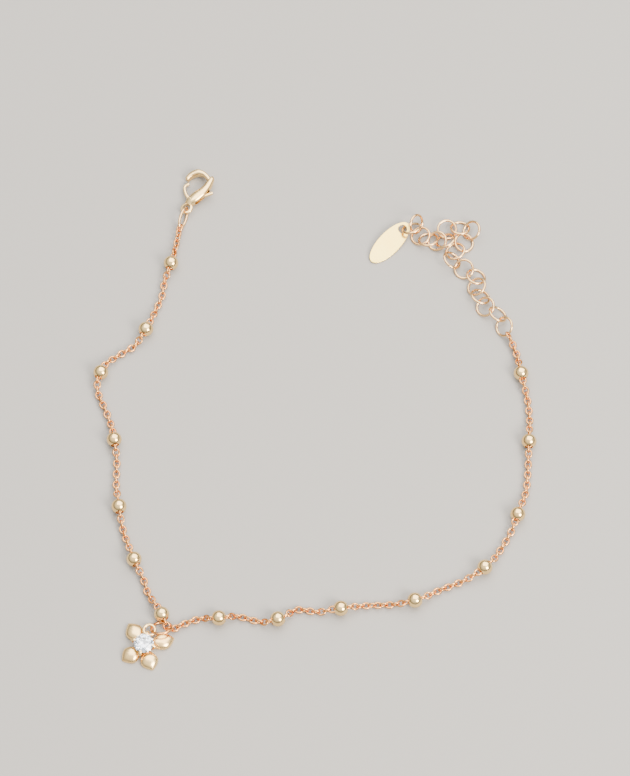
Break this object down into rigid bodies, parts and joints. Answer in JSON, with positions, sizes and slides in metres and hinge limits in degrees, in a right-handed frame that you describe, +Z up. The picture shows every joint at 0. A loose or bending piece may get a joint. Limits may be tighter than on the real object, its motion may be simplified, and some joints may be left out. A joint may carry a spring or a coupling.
{
  "type": "charm anklet",
  "caption": "Fine beaded chain anklet lying unclasped, with a flower charm and cut stone, a lobster clasp, and an extender chain that ends in an oval tag.",
  "frame": {"origin": "bottom centre of the anklet's bounding box as it lies on a flat surface", "axes": "+Z up from the surface it lies on; +Y the longest way, from the flower charm's side to the clasp and extender's side"},
  "size_m": [0.0882, 0.109, 0.0037],
  "materials": {
    "champagne_gold": "polished, pale gold plated",
    "rose_gold": "polished, rose gold plated",
    "pale_rose_gold": "polished, pale rose gold plated",
    "crystal": "faceted, clear"
  },
  "bodies": {
    "anklet": {"clasp_body": "champagne_gold", "clasp_ring": "pale_rose_gold", "end_link_clasp_side": "rose_gold", "end_link_extender_side": "rose_gold", "chain_clasp_side": "rose_gold", "chain_extender_side": "rose_gold", "bead_01": "champagne_gold", "bead_02": "champagne_gold", "bead_03": "champagne_gold", "bead_04": "champagne_gold", "bead_05": "champagne_gold", "bead_06": "champagne_gold", "bead_07": "champagne_gold", "bead_08": "champagne_gold", "bead_09": "champagne_gold", "bead_10": "champagne_gold", "bead_11": "champagne_gold", "bead_12": "champagne_gold", "bead_13": "champagne_gold", "bead_14": "champagne_gold", "bead_15": "champagne_gold", "charm_ring": "rose_gold", "flower_charm": "champagne_gold", "crystal": "crystal", "ext_ring_01": "pale_rose_gold", "ext_ring_02": "pale_rose_gold", "ext_ring_03": "pale_rose_gold", "ext_ring_04": "pale_rose_gold", "ext_ring_05": "pale_rose_gold", "ext_ring_06": "pale_rose_gold", "ext_ring_07": "pale_rose_gold", "ext_ring_08": "pale_rose_gold", "ext_ring_09": "pale_rose_gold", "ext_ring_10": "pale_rose_gold", "ext_ring_11": "pale_rose_gold", "ext_ring_12": "pale_rose_gold", "ext_ring_13": "pale_rose_gold", "ext_ring_14": "pale_rose_gold", "ext_ring_15": "pale_rose_gold", "ext_ring_16": "pale_rose_gold", "ext_ring_17": "pale_rose_gold", "ext_ring_18": "pale_rose_gold", "ext_ring_19": "pale_rose_gold", "end_tag": "champagne_gold"},
    "lever": {"clasp_lever": "champagne_gold"}
  },
  "joints": [
    {"name": "clasp_lever_hinge", "type": "hinge", "parent": "anklet", "child": "lever", "pos_m": [-0.02521, 0.04753, 0.00112], "axis": [0.2003, -0.0556, -0.9781], "range_deg": [0, 25], "stiffness_Nm_per_rad": 0.0006, "springref_deg": -11.46}
  ]
}
